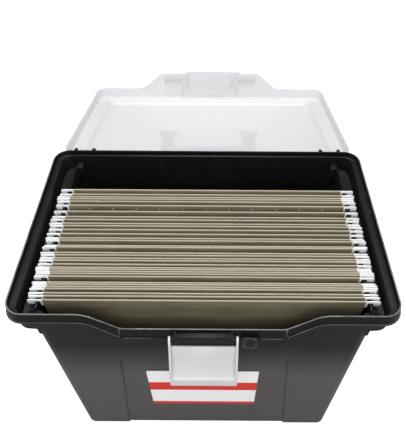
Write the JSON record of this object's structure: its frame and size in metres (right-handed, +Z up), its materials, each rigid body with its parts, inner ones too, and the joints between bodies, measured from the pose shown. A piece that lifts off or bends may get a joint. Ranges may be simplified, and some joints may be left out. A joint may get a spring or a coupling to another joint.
{
  "type": "portable file box",
  "caption": "Lidded plastic file box with hinged tray-shaped lid, carry handle, flip latch, padlock eyelet and hanging folders on side rails.",
  "frame": {"origin": "middle of the flat bottom face of the tub", "axes": "+X to the right seen from the latch side, +Y from the latch to the hinge, +Z up"},
  "size_m": [0.361, 0.4844, 0.275],
  "materials": {
    "black_plastic": "moulded, semi-gloss",
    "clear_plastic": "translucent, lightly frosted",
    "grey_plastic": "satin",
    "label_paper": "printed with plain bands",
    "folder_paper": "uncoated fibre board",
    "coated_steel": "white plastic-coated ends"
  },
  "bodies": {
    "tub": {"tub": "black_plastic", "label": "label_paper"},
    "lid": {"lid": "clear_plastic"},
    "carry_handle": {"carry_handle": "grey_plastic"},
    "latch": {"latch": "grey_plastic"},
    "folder_01": {"hanging_folder_01": "folder_paper", "folder_rods_01": "coated_steel"},
    "folder_02": {"hanging_folder_02": "folder_paper", "folder_rods_02": "coated_steel"},
    "folder_03": {"hanging_folder_03": "folder_paper", "folder_rods_03": "coated_steel"},
    "folder_04": {"hanging_folder_04": "folder_paper", "folder_rods_04": "coated_steel"},
    "folder_05": {"hanging_folder_05": "folder_paper", "folder_rods_05": "coated_steel"},
    "folder_06": {"hanging_folder_06": "folder_paper", "folder_rods_06": "coated_steel"},
    "folder_07": {"hanging_folder_07": "folder_paper", "folder_rods_07": "coated_steel"},
    "folder_08": {"hanging_folder_08": "folder_paper", "folder_rods_08": "coated_steel"},
    "folder_09": {"hanging_folder_09": "folder_paper", "folder_rods_09": "coated_steel"},
    "folder_10": {"hanging_folder_10": "folder_paper", "folder_rods_10": "coated_steel"},
    "folder_11": {"hanging_folder_11": "folder_paper", "folder_rods_11": "coated_steel"},
    "folder_12": {"hanging_folder_12": "folder_paper", "folder_rods_12": "coated_steel"},
    "folder_13": {"hanging_folder_13": "folder_paper", "folder_rods_13": "coated_steel"},
    "folder_14": {"hanging_folder_14": "folder_paper", "folder_rods_14": "coated_steel"},
    "folder_15": {"hanging_folder_15": "folder_paper", "folder_rods_15": "coated_steel"},
    "folder_16": {"hanging_folder_16": "folder_paper", "folder_rods_16": "coated_steel"},
    "folder_17": {"hanging_folder_17": "folder_paper", "folder_rods_17": "coated_steel"}
  },
  "joints": [
    {"name": "lid_hinge", "type": "hinge", "parent": "tub", "child": "lid", "pos_m": [0, 0.1185, 0.2675], "axis": [-1, 0, 0], "range_deg": [-192.9, 0]},
    {"name": "latch_hinge", "type": "hinge", "parent": "tub", "child": "latch", "pos_m": [0, -0.117, 0.24], "axis": [1, 0, 0], "range_deg": [-155, 0]},
    {"name": "handle_hinge", "type": "hinge", "parent": "lid", "child": "carry_handle", "pos_m": [0, 0.22756, 0.21287], "axis": [1, 0, 0], "range_deg": [0, 90]},
    {"name": "folder_01_lift", "type": "slide", "parent": "tub", "child": "folder_01", "axis": [0, 0, 1], "range_m": [0, 0.25]},
    {"name": "folder_02_lift", "type": "slide", "parent": "tub", "child": "folder_02", "axis": [0, 0, 1], "range_m": [0, 0.25]},
    {"name": "folder_03_lift", "type": "slide", "parent": "tub", "child": "folder_03", "axis": [0, 0, 1], "range_m": [0, 0.25]},
    {"name": "folder_04_lift", "type": "slide", "parent": "tub", "child": "folder_04", "axis": [0, 0, 1], "range_m": [0, 0.25]},
    {"name": "folder_05_lift", "type": "slide", "parent": "tub", "child": "folder_05", "axis": [0, 0, 1], "range_m": [0, 0.25]},
    {"name": "folder_06_lift", "type": "slide", "parent": "tub", "child": "folder_06", "axis": [0, 0, 1], "range_m": [0, 0.25]},
    {"name": "folder_07_lift", "type": "slide", "parent": "tub", "child": "folder_07", "axis": [0, 0, 1], "range_m": [0, 0.25]},
    {"name": "folder_08_lift", "type": "slide", "parent": "tub", "child": "folder_08", "axis": [0, 0, 1], "range_m": [0, 0.25]},
    {"name": "folder_09_lift", "type": "slide", "parent": "tub", "child": "folder_09", "axis": [0, 0, 1], "range_m": [0, 0.25]},
    {"name": "folder_10_lift", "type": "slide", "parent": "tub", "child": "folder_10", "axis": [0, 0, 1], "range_m": [0, 0.25]},
    {"name": "folder_11_lift", "type": "slide", "parent": "tub", "child": "folder_11", "axis": [0, 0, 1], "range_m": [0, 0.25]},
    {"name": "folder_12_lift", "type": "slide", "parent": "tub", "child": "folder_12", "axis": [0, 0, 1], "range_m": [0, 0.25]},
    {"name": "folder_13_lift", "type": "slide", "parent": "tub", "child": "folder_13", "axis": [0, 0, 1], "range_m": [0, 0.25]},
    {"name": "folder_14_lift", "type": "slide", "parent": "tub", "child": "folder_14", "axis": [0, 0, 1], "range_m": [0, 0.25]},
    {"name": "folder_15_lift", "type": "slide", "parent": "tub", "child": "folder_15", "axis": [0, 0, 1], "range_m": [0, 0.25]},
    {"name": "folder_16_lift", "type": "slide", "parent": "tub", "child": "folder_16", "axis": [0, 0, 1], "range_m": [0, 0.25]},
    {"name": "folder_17_lift", "type": "slide", "parent": "tub", "child": "folder_17", "axis": [0, 0, 1], "range_m": [0, 0.25]}
  ]
}
